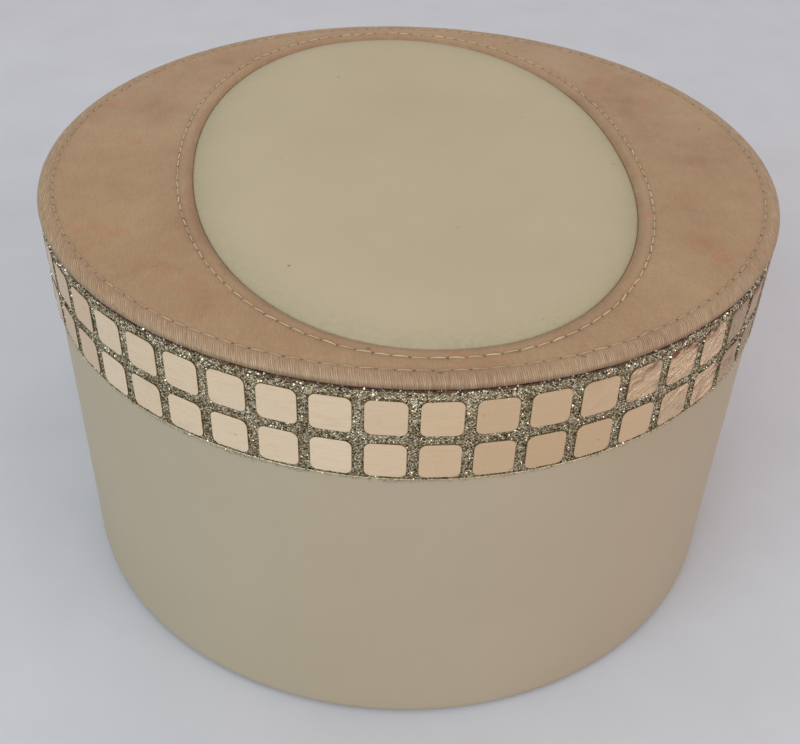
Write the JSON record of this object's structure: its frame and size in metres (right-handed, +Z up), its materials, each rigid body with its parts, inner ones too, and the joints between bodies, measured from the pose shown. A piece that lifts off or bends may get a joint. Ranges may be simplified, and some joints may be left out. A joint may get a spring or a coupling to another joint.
{
  "type": "powder box",
  "caption": "Round covered-board powder box with a lift-off padded lid, an oval inset, a band of mirror tiles, an inner tub and a puff.",
  "frame": {"origin": "centre of the underside, on the table", "axes": "+Z up along the box's axis, -Y towards the front, the inset's long axis along Y"},
  "size_m": [0.1502, 0.1502, 0.088],
  "materials": {
    "board": "matt grey-beige box board",
    "leatherette": "smooth matt khaki leatherette",
    "bottom_paper": "matt paper",
    "satin_lining": "soft satin",
    "tub_plastic": "moulded ivory plastic",
    "plush": "short pale pile",
    "puff_satin": "satin",
    "mirror_foil": "champagne mirror foil",
    "foam": "thin wadding",
    "satin": "champagne satin with a fine weave",
    "inset_leatherette": "smooth matt leatherette"
  },
  "bodies": {
    "base": {"base_wall": "board", "base_floor": "board", "base_wrap": "leatherette", "bottom_cover": "bottom_paper", "neck_collar": "board", "collar_wrap": "satin_lining", "floor_lining": "satin_lining", "powder_tub": "tub_plastic"},
    "puff": {"puff_pad": "plush", "puff_backing": "puff_satin", "puff_grip": "puff_satin"},
    "lid": {"lid_rim": "board", "lid_board": "board", "lid_lining": "satin_lining", "tile_trim": "mirror_foil", "lid_foam": "foam", "satin_cover": "satin", "inset_board": "board", "inset_padding": "foam", "inset_cover": "inset_leatherette"}
  },
  "joints": [
    {"name": "puff_lift", "type": "slide", "parent": "base", "child": "puff", "axis": [0, 0, 1], "range_m": [0, 0.06]},
    {"name": "lid_lift", "type": "slide", "parent": "puff", "child": "lid", "axis": [0, 0, 1], "range_m": [0, 0.09]}
  ]
}
